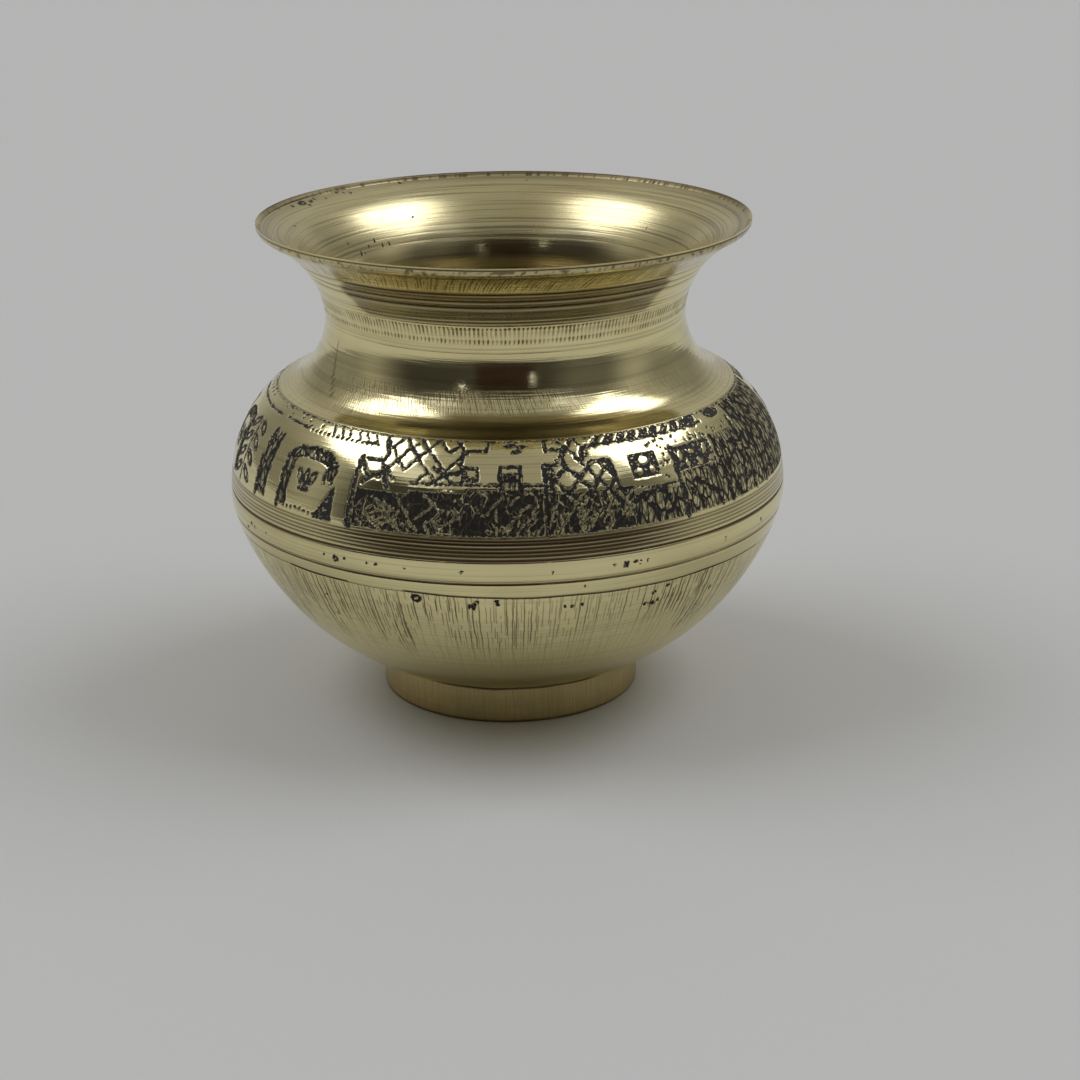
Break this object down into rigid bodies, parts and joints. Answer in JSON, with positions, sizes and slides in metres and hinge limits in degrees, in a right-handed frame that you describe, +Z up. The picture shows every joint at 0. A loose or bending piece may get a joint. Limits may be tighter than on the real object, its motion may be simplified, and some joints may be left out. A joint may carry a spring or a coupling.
{
  "type": "lota water pot",
  "caption": "Round-bellied brass water pot with a flared mouth, a chased shoulder band, turned girth grooves and a ring foot.",
  "frame": {"origin": "centre of the foot's underside, on the pot's axis", "axes": "+Z up along the pot's axis; -Y faces the side that is seen from the front"},
  "size_m": [0.1152, 0.1152, 0.1],
  "materials": {
    "turned_brass": "bright lathe-turned, fine rings",
    "chased_brass": "polished, chased band with a dark filling",
    "bowl_brass": "satin turned, chatter streaks and pits",
    "foot_brass": "dull brushed",
    "spelter": "dull brazing metal"
  },
  "bodies": {
    "root": {"mouth_and_neck": "turned_brass", "shoulder_shell": "chased_brass", "lower_bowl": "bowl_brass", "foot_ring": "foot_brass", "neck_braze": "spelter", "girth_braze": "spelter", "foot_braze": "spelter"}
  },
  "joints": []
}
